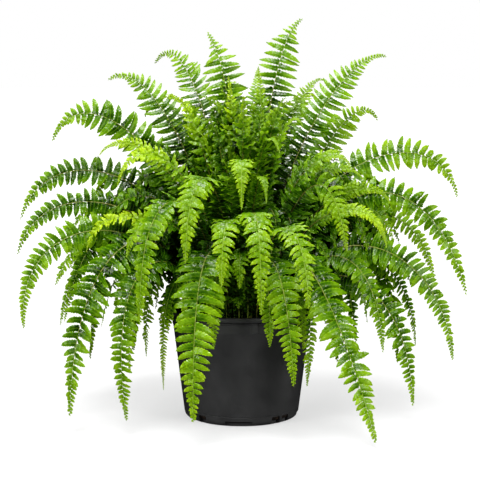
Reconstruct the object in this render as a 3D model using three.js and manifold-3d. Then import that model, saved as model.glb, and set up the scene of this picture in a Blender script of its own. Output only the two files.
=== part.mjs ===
// A fern in a plastic nursery pot: the pot, the soil that fills it, and the fronds of one clump.
// Millimetres, +Z up. The origin is the centre of the pot's underside, and -Y is the front.
import * as THREE from 'three';
import { mergeVertices } from 'three/addons/utils/BufferGeometryUtils.js';
import Module from 'manifold-3d';

const wasm = await Module();
wasm.setup();

// ---- driving dimensions ----

const GAP = 0.3;                      // clearance between pieces that touch
const ROUND_STEPS = 36;               // sides of the pot and the soil

const POT_HEIGHT = 190;
const LIP_RADIUS = 127;
const LIP_HEIGHT = 9;
const COLLAR_RADIUS = 120;
const COLLAR_HEIGHT = 21;             // of the plain band under the lip
const COLLAR_STEP = 2;                // how far the band stands proud of the wall
const BASE_RADIUS = 99;
const BASE_ROUND = 9;                 // of the corner between the wall and the underside
const LIP_FOOT = POT_HEIGHT - LIP_HEIGHT;
const COLLAR_FOOT = LIP_FOOT - COLLAR_HEIGHT;
const WALL = 2.4;
const FLOOR = 5;                      // height of the floor's inner face
const FOOT_INNER_RADIUS = 76;
const PAD_RADIUS = 30;                // flat middle of the underside
const UNDERSIDE_RISE = 2.5;           // of the ring between the pad and the foot

const NOTCHES = 8;                    // round the foot, every other one a pair of drain slots
const NOTCH_FIRST = -93;              // azimuth of the notch at the front, degrees
const NOTCH_WIDTH = 46;
const NOTCH_HEIGHT = 8;
const NOTCH_DEPTH = 5;
const SLOT_WIDTH = 16;
const SLOT_SPACING = 21;
const SLOT_HEIGHT = 11;
const SLOT_CUT = 16;                  // deep enough to go right through the wall

const GRIP_AZIMUTH = -79;             // shallow recess in the collar, degrees
const GRIP_WIDTH = 13;
const GRIP_HEIGHT = 17;
const GRIP_DEPTH = 1.6;

const SOIL_TOP = 176;                 // at the middle
const SOIL_EDGE = 171;
const SOIL_FLAT_RADIUS = 60;          // the soil falls away to the edge outside this

const ROW_FLOOR = 6;                  // the rows' heights start here
const FOOT_DEPTH = 14;                // of each stalk in the soil
const STALK_WIDTH = 4.2;
const BLADE_THICKNESS = 2;            // of the rib where the blade starts
const RIB_TIP_WIDTH = 1.4;
const RIB_TIP_THICKNESS = 0.8;
const LEAFLET_EDGE = 0.6;             // thickness at a leaflet's tip
const LEAFLET_STEP = 36;              // spacing of the leaflets along the rib
const LEAFLET_DROOP = 0.14;           // how far a leaflet's tip hangs, per length
const LEAFLET_LEAN = 0.4;             // how far it leans to the frond's tip, per spacing
const STALK_SHARE = 0.26;             // of the rib that bears no leaflets
const STALK_STEPS = 4;                // rings along the bare stalk
const FEWEST_PAIRS = 6;
const TURN_SHARE = 0.45;              // of the rib over which a blade turns to the front

// ---- the fronds ----
// Each row is one frond: the azimuth it leaves the clump at, how far it sweeps round to its tip,
// the radius of its root, then reach and height of the two handles of its arch and of its tip,
// half the blade's width, and how far its face turns to the front (0 not at all, 1 fully).
// Angles are degrees and 0 is +X. Two rows in a node are two fronds that grew from one root.

const FRONDS = {
  // nearly upright, in the middle
  frond_upright_left: [[150, 0, 10, [2, 350], [14, 590], [68, 652], 36, 1]],
  frond_upright_right: [[22, 0, 10, [34, 380], [50, 645], [113, 675], 36, 1]],
  frond_upright_young: [
    [-120, 0, 12, [12, 350], [20, 500], [45, 578], 25, 0.9],
    [-112, 0, 12, [38, 270], [34, 500], [64, 480], 18, 0.3],
  ],
  frond_upright_back: [[75, 0, 14, [14, 350], [60, 520], [110, 590], 28, 0]],
  frond_upright_short: [[-5, 0, 20, [26, 330], [42, 500], [28, 594], 25, 0.9]],
  // high, arching over at the top
  frond_high_left_1: [[138, 0, 20, [26, 430], [136, 690], [208, 598], 29, 0.9]],
  frond_high_left_2: [[170, 0, 28, [42, 395], [166, 625], [233, 570], 34, 0.85]],
  frond_high_left_3: [[-177, 0, 38, [85, 465], [280, 592], [320, 468], 36, 0.85]],
  frond_high_left_young: [
    [-172, 0, 18, [35, 380], [85, 560], [127, 546], 22, 0.9],
    [-146, 0, 18, [46, 300], [58, 500], [92, 485], 18, 0.4],
  ],
  frond_high_right_1: [[12, 0, 26, [50, 440], [200, 635], [256, 610], 32, 0.85]],
  frond_high_right_2: [[38, 0, 22, [40, 400], [138, 605], [192, 566], 23, 0.7]],
  frond_high_right_3: [[22, 0, 38, [95, 395], [218, 580], [260, 498], 30, 0.8]],
  frond_high_right_4: [[5, 0, 42, [85, 450], [345, 520], [375, 368], 35, 0.85]],
  frond_high_back_1: [
    [55, 0, 28, [50, 400], [180, 620], [250, 520], 30, 0],
    [72, 0, 28, [55, 370], [140, 540], [185, 470], 27, 0],
  ],
  frond_high_back_2: [[98, 0, 26, [45, 400], [170, 640], [240, 560], 30, 0]],
  frond_high_back_3: [
    [132, 0, 28, [50, 400], [200, 610], [265, 500], 30, 0],
    [114, 0, 28, [55, 370], [140, 530], [185, 460], 27, 0],
  ],
  // at mid height, reaching far out
  frond_middle_left_1: [
    [177, 0, 50, [105, 450], [345, 475], [382, 330], 32, 0.8],
    [165, 0, 50, [95, 410], [285, 430], [315, 255], 32, 0.3],
  ],
  frond_middle_left_2: [[-171, 0, 60, [115, 400], [350, 420], [380, 280], 30, 0.8]],
  frond_middle_left_3: [[-163, 0, 68, [140, 385], [395, 365], [376, 164], 32, 0.8]],
  frond_middle_left_young: [[-167, 0, 31, [62, 410], [200, 515], [244, 446], 20, 0.8]],
  frond_middle_right_1: [[-6, 0, 55, [112, 410], [315, 478], [384, 208], 35, 0.8]],
  frond_middle_right_2: [[5, 0, 60, [110, 390], [310, 400], [337, 220], 29, 0.6]],
  frond_middle_right_3: [
    [-12, 0, 44, [84, 380], [230, 428], [254, 366], 26, 0.8],
    [-28, 0, 44, [90, 370], [250, 412], [268, 300], 26, 0.6],
  ],
  frond_middle_back_1: [
    [35, 0, 48, [100, 420], [305, 480], [345, 300], 32, 0],
    [21, 0, 48, [90, 380], [270, 410], [298, 225], 30, 0.1],
  ],
  frond_middle_back_2: [
    [64, 0, 50, [100, 420], [295, 470], [335, 290], 32, 0],
    [77, 0, 50, [90, 360], [245, 380], [280, 195], 30, 0],
  ],
  frond_middle_back_3: [[90, 0, 52, [110, 430], [300, 490], [342, 320], 32, 0]],
  frond_middle_back_4: [
    [117, 0, 50, [100, 420], [292, 460], [332, 280], 32, 0],
    [104, 0, 50, [90, 360], [240, 380], [272, 190], 30, 0],
  ],
  frond_middle_back_5: [
    [145, 0, 48, [100, 420], [302, 480], [348, 310], 32, 0],
    [156, 0, 48, [92, 370], [262, 390], [292, 195], 30, 0],
  ],
  // short and young, on the front
  frond_front_young_1: [
    [-153, 0, 26, [44, 420], [200, 520], [228, 400], 27, 0.6],
    [-160, 0, 24, [90, 340], [250, 400], [273, 290], 26, 0.5],
  ],
  frond_front_young_2: [
    [-110, 0, 40, [66, 440], [240, 505], [256, 291], 33, 0.2],
    [-145, 0, 40, [85, 350], [215, 390], [228, 285], 28, 0.3],
  ],
  frond_front_young_3: [
    [-97, 0, 50, [88, 380], [248, 405], [257, 256], 29, 0],
    [-91, 0, 50, [84, 310], [180, 330], [188, 243], 24, 0],
  ],
  frond_front_young_4: [[-90, 0, 26, [44, 440], [178, 520], [190, 369], 25, 0]],
  frond_front_young_5: [[-60, 0, 15, [30, 450], [90, 520], [124, 454], 20, 0.3]],
  frond_front_young_6: [[-84, 0, 56, [90, 410], [285, 430], [286, 217], 32, 0]],
  frond_front_young_7: [[-68, 0, 60, [100, 370], [262, 400], [276, 222], 31, 0.2]],
  frond_front_young_8: [
    [-38, 0, 40, [80, 355], [178, 514], [217, 296], 30, 0.9],
    [-18, 0, 40, [70, 410], [175, 462], [215, 405], 25, 0.6],
  ],
  frond_front_young_9: [
    [-25, 0, 26, [50, 400], [170, 500], [200, 425], 27, 0.6],
    [-38, 0, 26, [36, 390], [95, 560], [128, 495], 20, 0.5],
  ],
  frond_front_young_10: [[-75, 0, 32, [50, 400], [140, 470], [155, 376], 18, 0]],
  frond_front_middle: [[-126, 0, 56, [96, 430], [280, 460], [272, 189], 34, 0.3]],
  // low and long, hanging beside the pot
  frond_low_left_1: [[-152, 0, 80, [130, 390], [310, 350], [318, 25], 45, 0.5]],
  frond_low_left_2: [
    [-141, 0, 86, [120, 330], [292, 330], [242, 19], 36, 0.4],
    [-138, 0, 86, [112, 262], [184, 300], [174, 62], 19, 0.2],
  ],
  frond_low_left_3: [[-174, 0, 76, [120, 330], [282, 360], [311, 155], 24, 0.5]],
  frond_low_left_4: [
    [-166, 0, 90, [120, 300], [210, 310], [196, 75], 26, 0.4],
    [-154, 0, 90, [112, 280], [186, 290], [178, 110], 22, 0.2],
  ],
  frond_low_front_1: [[-108, 0, 72, [118, 360], [258, 350], [247, 37], 45, 0.2]],
  frond_low_front_2: [[-78, 9, 78, [115, 320], [230, 350], [231, 90], 34, 0.2]],
  frond_low_front_3: [
    [-104, 0, 84, [105, 300], [190, 320], [185, 146], 26, 0],
    [-124, 0, 84, [100, 290], [170, 300], [168, 180], 24, 0],
  ],
  frond_low_front_4: [[-74, 0, 88, [110, 270], [170, 290], [166, 143], 24, 0]],
  frond_low_right_1: [[-48, 0, 78, [92, 440], [252, 180], [317, 4], 45, 0.3]],
  frond_low_right_2: [[-16, 0, 82, [120, 300], [292, 262], [300, 27], 34, 0.5]],
  frond_low_right_3: [
    [-9, 0, 72, [130, 370], [345, 310], [362, 100], 31, 0.7],
    [-2, 0, 72, [115, 320], [290, 320], [300, 116], 24, 0.5],
  ],
  frond_low_right_4: [[-27, 0, 84, [120, 320], [250, 330], [262, 125], 26, 0.5]],
  frond_low_right_5: [
    [-36, 0, 90, [110, 260], [158, 290], [136, 60], 22, 0.3],
    [-50, 0, 90, [105, 250], [160, 270], [158, 131], 18, 0.2],
  ],
  frond_low_back_1: [[22, 0, 84, [130, 340], [300, 350], [305, 60], 38, 0]],
  frond_low_back_2: [[50, 0, 86, [120, 330], [270, 340], [280, 40], 38, 0]],
  frond_low_back_3: [[80, 0, 84, [125, 340], [290, 340], [300, 50], 40, 0]],
  frond_low_back_4: [[104, 0, 86, [120, 330], [260, 340], [270, 45], 38, 0]],
  frond_low_back_5: [[132, 0, 84, [130, 350], [300, 350], [305, 60], 40, 0]],
  frond_low_back_6: [[160, 0, 86, [125, 330], [280, 330], [290, 70], 36, 0]],
};

// ---- helpers ----

const radians = THREE.MathUtils.degToRad;

function solidOf(geometry) {
  const bare = geometry.clone();
  bare.deleteAttribute('normal');
  if (bare.hasAttribute('uv')) bare.deleteAttribute('uv');
  const merged = mergeVertices(bare, 1e-4);
  return new wasm.Manifold(new wasm.Mesh({
    numProp: 3,
    vertProperties: new Float32Array(merged.attributes.position.array),
    triVerts: new Uint32Array(merged.index.array),
  }));
}

function geometryOf(solid) {
  const mesh = solid.getMesh();
  const geometry = new THREE.BufferGeometry();
  geometry.setAttribute('position', new THREE.BufferAttribute(mesh.vertProperties, 3));
  geometry.setIndex(new THREE.BufferAttribute(mesh.triVerts, 1));
  geometry.computeVertexNormals();
  return geometry;
}

// A closed outline of [radius, height] turned about Z.
function turned(outline) {
  const points = outline.map(([radius, height]) => new THREE.Vector2(radius, height));
  const geometry = new THREE.LatheGeometry(points, ROUND_STEPS);
  return solidOf(geometry.rotateX(Math.PI / 2));
}

// A box centred at a radius and azimuth, with its first side pointing outward.
function boxAt(azimuth, radius, sideways, low, high, depth, width) {
  const geometry = new THREE.BoxGeometry(depth, width, high - low);
  geometry.translate(radius, sideways, (low + high) / 2);
  return solidOf(geometry.rotateZ(radians(azimuth)));
}

// ---- pot ----

const wallRadius = (height) => {
  const top = COLLAR_RADIUS - COLLAR_STEP;
  const along = (height - BASE_ROUND) / (COLLAR_FOOT - BASE_ROUND);
  return BASE_RADIUS + (top - BASE_RADIUS) * along;
};

function potSolid() {
  const outline = [[0, 0], [PAD_RADIUS, 0], [PAD_RADIUS + 2, UNDERSIDE_RISE]];
  outline.push([FOOT_INNER_RADIUS - 2, UNDERSIDE_RISE], [FOOT_INNER_RADIUS, 0]);
  for (const turn of [0, 45, 90]) {
    const centre = BASE_RADIUS - BASE_ROUND;
    const out = centre + BASE_ROUND * Math.sin(radians(turn));
    outline.push([out, BASE_ROUND * (1 - Math.cos(radians(turn)))]);
  }
  outline.push([wallRadius(COLLAR_FOOT), COLLAR_FOOT]);
  outline.push([COLLAR_RADIUS - 1, COLLAR_FOOT + 2]);
  outline.push([COLLAR_RADIUS, LIP_FOOT]);
  outline.push([LIP_RADIUS - 1, LIP_FOOT + 1], [LIP_RADIUS, LIP_FOOT + 3]);
  outline.push([LIP_RADIUS - 0.5, POT_HEIGHT - 1.5], [LIP_RADIUS - 2.5, POT_HEIGHT]);
  outline.push([COLLAR_RADIUS - WALL, POT_HEIGHT - 2]);
  outline.push([wallRadius(COLLAR_FOOT) - WALL, COLLAR_FOOT]);
  outline.push([BASE_RADIUS - WALL, BASE_ROUND]);
  outline.push([BASE_RADIUS - BASE_ROUND, FLOOR], [0, FLOOR]);
  return turned(outline);
}

function makePot() {
  let pot = potSolid();
  const cut = (...box) => {
    pot = pot.subtract(boxAt(...box));
  };
  for (let i = 0; i < NOTCHES; i += 1) {
    const azimuth = NOTCH_FIRST + (i * 360) / NOTCHES;
    if (i % 2 === 0) {
      cut(azimuth, BASE_RADIUS, 0, -1, NOTCH_HEIGHT, 2 * NOTCH_DEPTH, NOTCH_WIDTH);
      continue;
    }
    for (const across of [-SLOT_SPACING / 2, SLOT_SPACING / 2]) {
      cut(azimuth, BASE_RADIUS, across, -1, SLOT_HEIGHT, SLOT_CUT, SLOT_WIDTH);
    }
  }
  const gripHigh = LIP_FOOT - 1;
  const gripLow = gripHigh - GRIP_HEIGHT;
  cut(GRIP_AZIMUTH, COLLAR_RADIUS, 0, gripLow, gripHigh, 2 * GRIP_DEPTH, GRIP_WIDTH);
  return pot;
}

// ---- fronds ----

const polar = (azimuth, reach, height) => new THREE.Vector3(
  reach * Math.cos(radians(azimuth)), reach * Math.sin(radians(azimuth)), height,
);

// The first row of a node gives the root that all its fronds share.
function readRow(row, firstRow) {
  const [azimuth, sweep, , rise, arch, tip, halfWidth, turn] = row;
  const [rootAzimuth, , rootRadius] = firstRow;
  const start = polar(rootAzimuth, rootRadius, SOIL_TOP);
  const place = (share, [reach, height]) => polar(azimuth + share * sweep, reach, height + ROW_FLOOR);
  const curve = new THREE.CubicBezierCurve3(start, place(0, rise), place(0.6, arch), place(1, tip));
  return { azimuth: azimuth + 0.5 * sweep, rootAzimuth, start, curve, halfWidth, turn };
}

// The blade's outline: it widens quickly, stays wide and runs out in a long taper.
function spread(along) {
  const base = 0.4 + 0.6 * THREE.MathUtils.smoothstep(along, 0, 0.22);
  return base * Math.pow(1 - Math.pow(along, 2.6), 0.85);
}

// Position, left and up at a share of the rib's length. Up leans to the front by the row's turn.
function stationAt(frond, share) {
  const { azimuth, curve, turn } = frond;
  const point = curve.getPointAt(share);
  const forward = curve.getTangentAt(share);
  const across = new THREE.Vector3(-Math.sin(radians(azimuth)), Math.cos(radians(azimuth)), 0);
  const up = new THREE.Vector3().crossVectors(forward, across).normalize();
  const front = new THREE.Vector3(0, -1, 0);
  front.addScaledVector(forward, -front.dot(forward));
  up.lerp(front, turn * THREE.MathUtils.smoothstep(share, 0, TURN_SHARE)).normalize();
  const left = new THREE.Vector3().crossVectors(up, forward).normalize();
  return { point, forward, left, up };
}

function corners(station, width, thickness) {
  const { point, left, up } = station;
  const corner = (side, rise) => point.clone()
    .addScaledVector(left, (side * width) / 2)
    .addScaledVector(up, (rise * thickness) / 2);
  return [corner(1, 1), corner(-1, 1), corner(-1, -1), corner(1, -1)];
}

function ribStations(frond, pairs) {
  const stations = [];
  for (let i = 0; i < STALK_STEPS; i += 1) {
    stations.push(stationAt(frond, (STALK_SHARE * i) / STALK_STEPS));
  }
  for (let i = 0; i <= pairs; i += 1) {
    stations.push(stationAt(frond, THREE.MathUtils.lerp(STALK_SHARE, 1, i / pairs)));
  }
  return stations;
}

// A mesh in the making: add takes points and gives their numbers, which the faces join.
function newMesh() {
  const points = [];
  const faces = [];
  const add = (...corner) => corner.map((point) => points.push(point.x, point.y, point.z) / 3 - 1);
  const triangle = (a, b, c) => faces.push(a, b, c);
  const quad = (a, b, c, d) => faces.push(a, b, c, a, c, d);
  const toGeometry = () => {
    const geometry = new THREE.BufferGeometry();
    geometry.setAttribute('position', new THREE.Float32BufferAttribute(points, 3));
    geometry.setIndex(faces);
    geometry.computeVertexNormals();
    return geometry;
  };
  return { add, triangle, quad, toGeometry };
}

// The square foot in the soil, then four corners round each station of the stalk and the rib.
function addRings(mesh, frond, pairs) {
  const stations = ribStations(frond, pairs);
  const foot = { point: frond.start.clone(), up: polar(frond.rootAzimuth + 180, 1, 0) };
  foot.point.z -= FOOT_DEPTH;
  foot.left = new THREE.Vector3().crossVectors(foot.up, new THREE.Vector3(0, 0, 1));
  const ground = { ...foot, point: frond.start };
  const rings = [foot, ground].map(
    (station) => mesh.add(...corners(station, STALK_WIDTH, STALK_WIDTH)),
  );
  stations.slice(1).forEach((station, i) => {
    const along = Math.max(0, (i + 1 - STALK_STEPS) / pairs);
    const thin = Math.min(1, (i + 1) / STALK_STEPS);
    const start = THREE.MathUtils.lerp(STALK_WIDTH, BLADE_THICKNESS, thin);
    const width = THREE.MathUtils.lerp(STALK_WIDTH, RIB_TIP_WIDTH, along);
    const thickness = THREE.MathUtils.lerp(start, RIB_TIP_THICKNESS, along);
    rings.push(mesh.add(...corners(station, width, thickness)));
  });
  return rings;
}

// Top and bottom of one length of the rib, and its sides too where it bears no leaflets.
function addLength(mesh, ring, next, bare) {
  const [leftTop, rightTop, rightBottom, leftBottom] = ring;
  const [nextLeftTop, nextRightTop, nextRightBottom, nextLeftBottom] = next;
  mesh.quad(leftTop, rightTop, nextRightTop, nextLeftTop);
  mesh.quad(leftBottom, nextLeftBottom, nextRightBottom, rightBottom);
  if (!bare) return;
  mesh.quad(nextLeftBottom, leftBottom, leftTop, nextLeftTop);
  mesh.quad(rightBottom, nextRightBottom, nextRightTop, rightTop);
}

// A thin wedge from one length of the rib's side out to the tip of a leaflet.
function addLeaflet(mesh, [top, bottom], [farTop, farBottom], tip, up) {
  const rise = up.clone().multiplyScalar(LEAFLET_EDGE / 2);
  const [tipTop, tipBottom] = mesh.add(tip.clone().add(rise), tip.clone().sub(rise));
  mesh.triangle(top, farTop, tipTop);
  mesh.triangle(bottom, tipBottom, farBottom);
  mesh.quad(tipTop, tipBottom, bottom, top);
  mesh.quad(farTop, farBottom, tipBottom, tipTop);
}

// Both leaflets of one length of the rib, at a share of the blade's length.
function addPair(mesh, ring, next, frond, along, step) {
  const middle = stationAt(frond, THREE.MathUtils.lerp(STALK_SHARE, 1, along));
  const size = frond.halfWidth * spread(along);
  const tipAt = (side) => middle.point.clone()
    .addScaledVector(middle.left, side * size)
    .addScaledVector(middle.forward, LEAFLET_LEAN * step)
    .addScaledVector(middle.up, -size * LEAFLET_DROOP);
  const [leftTop, rightTop, rightBottom, leftBottom] = ring;
  const [nextLeftTop, nextRightTop, nextRightBottom, nextLeftBottom] = next;
  addLeaflet(mesh, [leftTop, leftBottom], [nextLeftTop, nextLeftBottom], tipAt(1), middle.up);
  addLeaflet(mesh, [nextRightTop, nextRightBottom], [rightTop, rightBottom], tipAt(-1), middle.up);
}

// One closed frond, with the leaflets cut to the rib.
function frondGeometry(row, firstRow) {
  const frond = readRow(row, firstRow);
  const blade = frond.curve.getLength() * (1 - STALK_SHARE);
  const pairs = Math.max(FEWEST_PAIRS, Math.round(blade / LEAFLET_STEP));
  const mesh = newMesh();
  const rings = addRings(mesh, frond, pairs);
  const firstLeaflet = rings.length - 1 - pairs;
  mesh.quad(...rings[0].toReversed());
  for (let i = 0; i + 1 < rings.length; i += 1) {
    const bare = i < firstLeaflet;
    addLength(mesh, rings[i], rings[i + 1], bare);
    const along = (i - firstLeaflet + 0.5) / pairs;
    if (!bare) addPair(mesh, rings[i], rings[i + 1], frond, along, blade / pairs);
  }
  mesh.quad(...rings[rings.length - 1]);
  return mesh.toGeometry();
}

function makeFrond(rows) {
  const [first, ...others] = rows.map((row) => frondGeometry(row, rows[0]));
  if (others.length === 0) return first;
  return geometryOf(others.reduce((solid, other) => solid.add(solidOf(other)), solidOf(first)));
}

// ---- soil ----

function holeFor(rows) {
  const { rootAzimuth, start } = readRow(rows[0], rows[0]);
  const size = STALK_WIDTH + 2 * GAP;
  const depth = FOOT_DEPTH + GAP;
  const geometry = new THREE.BoxGeometry(size, size, depth + 10);
  geometry.rotateZ(radians(rootAzimuth));
  return solidOf(geometry.translate(start.x, start.y, SOIL_TOP - depth + (depth + 10) / 2));
}

function makeSoil() {
  const inset = WALL + GAP;
  const soil = turned([
    [0, FLOOR + GAP], [BASE_RADIUS - BASE_ROUND - GAP, FLOOR + GAP],
    [BASE_RADIUS - inset, BASE_ROUND],
    [wallRadius(COLLAR_FOOT) - inset, COLLAR_FOOT],
    [COLLAR_RADIUS - inset - 1.5, SOIL_EDGE],
    [SOIL_FLAT_RADIUS, SOIL_TOP], [0, SOIL_TOP],
  ]);
  const holes = Object.values(FRONDS).map(holeFor);
  return holes.reduce((left, hole) => left.subtract(hole), soil);
}

// ---- the assembly ----

function piece(name, geometry, color, roughness) {
  const material = new THREE.MeshStandardMaterial({ color, roughness, metalness: 0 });
  const mesh = new THREE.Mesh(geometry, material);
  mesh.name = name;
  return mesh;
}

const plant = new THREE.Group();
plant.add(piece('pot', geometryOf(makePot()), 0x2b2c2d, 0.5));
plant.add(piece('soil', geometryOf(makeSoil()), 0x1d1610, 0.95));
for (const [name, rows] of Object.entries(FRONDS)) {
  plant.add(piece(name, makeFrond(rows), 0x3f7d1c, 0.5));
}

export default plant;
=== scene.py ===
"""A fern in a plastic nursery pot: its fine fronds, pot and soil, on a pale floor in soft light.

Metres, +Z up. The origin is the centre of the pot's underside, and -Y is the front.
"""

import math

import bmesh
import bpy
import numpy as np
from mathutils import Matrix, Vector


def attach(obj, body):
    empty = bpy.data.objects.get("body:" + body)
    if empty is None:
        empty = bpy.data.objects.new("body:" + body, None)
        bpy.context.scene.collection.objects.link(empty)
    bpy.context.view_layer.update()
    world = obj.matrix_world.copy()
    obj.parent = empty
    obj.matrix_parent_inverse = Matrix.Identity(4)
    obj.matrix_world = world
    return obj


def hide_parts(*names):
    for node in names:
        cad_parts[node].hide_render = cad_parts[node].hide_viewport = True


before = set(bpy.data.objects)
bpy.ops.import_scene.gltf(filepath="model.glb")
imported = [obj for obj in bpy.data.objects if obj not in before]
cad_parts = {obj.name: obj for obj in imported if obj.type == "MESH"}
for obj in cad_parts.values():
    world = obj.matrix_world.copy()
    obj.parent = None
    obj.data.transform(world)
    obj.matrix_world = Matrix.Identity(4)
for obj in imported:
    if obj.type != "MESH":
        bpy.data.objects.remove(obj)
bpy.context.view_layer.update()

MM = 0.001
SEED = 7

# ---- the pot and the soil, in millimetres as in the model ----

POT_HEIGHT = 190
LIP_RADIUS = 127
LIP_HEIGHT = 9
COLLAR_RADIUS = 120
COLLAR_HEIGHT = 21
COLLAR_STEP = 2
BASE_RADIUS = 99
BASE_ROUND = 9
LIP_FOOT = POT_HEIGHT - LIP_HEIGHT
COLLAR_FOOT = LIP_FOOT - COLLAR_HEIGHT
WALL = 2.4
FLOOR = 5
FOOT_INNER_RADIUS = 76
PAD_RADIUS = 30
UNDERSIDE_RISE = 2.5
NOTCHES = 8
NOTCH_FIRST = -93
NOTCH_WIDTH = 46
NOTCH_HEIGHT = 9
NOTCH_DEPTH = 8
NOTCH_ROUNDING = 2.0
SLOT_WIDTH = 16
SLOT_SPACING = 21
SLOT_HEIGHT = 14
SLOT_CUT = 16
SLOT_ROUNDING = 1.5
CUT_LOW = -4                     # notches and slots are cut from here, under the foot
GRIP_AZIMUTH = -79
GRIP_WIDTH = 13
GRIP_HEIGHT = 17
GRIP_DEPTH = 1.6
GRIP_ROUNDING = 1.5
POT_STEPS = 168                  # sides of the fine pot
POT_SHARP = 32                   # degrees from which its edges are sharp

SOIL_TOP = 176
SOIL_EDGE = 171
SOIL_FLAT_RADIUS = 60
SOIL_GAP = 0.3
SOIL_STEPS = 160                 # sides of the fine soil
SOIL_RINGS = 60                  # from its edge to its middle
SOIL_BUMP = 1.6                  # how far its top goes up and down
SOIL_SHARP = 60
CRUMBS = 900
CRUMB_RADII = (0.8, 3.2)

# ---- the fronds ----

ROW_FLOOR = 6                    # the rows' heights start here
FOOT_DEPTH = 14                  # of each stalk in the soil
STALK_RADIUS = 1.8
RIB_TIP_RADIUS = 0.4
BLADE_START = 0.26               # where the model's leaflets start, as a share of the rib
LEAF_START = 0.045               # where the fine ones start
LEAF_END = 0.992                 # and where they end
TURN_SHARE = 0.45                # of the rib over which a blade turns to the front
CURVE_STEPS = 401                # points that a frond's length is measured by
RIB_STEPS = 44
RIB_SIDES = 6

# What kind a frond is goes from 0 at the first of these to 1 at the second. Its tip is in metres,
# half its width and the reach and height of its arch in millimetres.
HANGING_TIP = (0.48, 0.25)
POINTED_TIP = (0.48, 0.56)
UPRIGHT_TIP = (0.62, 0.65)
LATE_TIP = (0.18, 0.24)          # a hanging one narrows later with such a tip
MIDDLE_REACH = (250, 300)
MIDDLE_HEIGHT = (350, 410)
SLENDER_WIDTH = (22, 14)
BROAD_WIDTH = (22, 30)
CRISP_YOUTH = (0.40, 0.50)
WILD_YOUTH = (0.75, 0.9)
SLENDER_YOUTH = 0.3              # how much younger a slender one that hangs looks

INNER_FRONDS = 84                # short ones that fill the clump
RIM_FRONDS = 30                  # very short ones above the front of the rim
SIDE_FRONDS = 66                 # long ones at both sides
RIM_SIDE_FRONDS = 18             # short ones that hang at the front left and right of the rim
UPRIGHT_FRONDS = 40              # narrow ones between the tall ones
GOLDEN_ANGLE = 137.5             # from one of these to the next, so that they don't line up
GOLDEN_SHARE = 0.618             # the same, of a range
PAINTED_SHADE_CENTRE = np.array([0, 0, 0.36])   # painted shade: leaflets and stalks are painted darker near here, deep in the clump, in metres
SHADE_REACH = 0.10               # fully so as near as this,
FULL_REACH = 0.24                # and not at all from here out

# A leaflet.
TEETH = 7                        # scallops along each of its edges
TOOTH_PEAK = 0.86                # where one is widest, as a share of it
POINT = 0.985                    # where the last points lie along it
RIPPLES = 2.6                    # of the blade along it
ACROSS = np.array([-1, -0.52, 0, 0.52, 1])   # where the points lie across it

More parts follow.
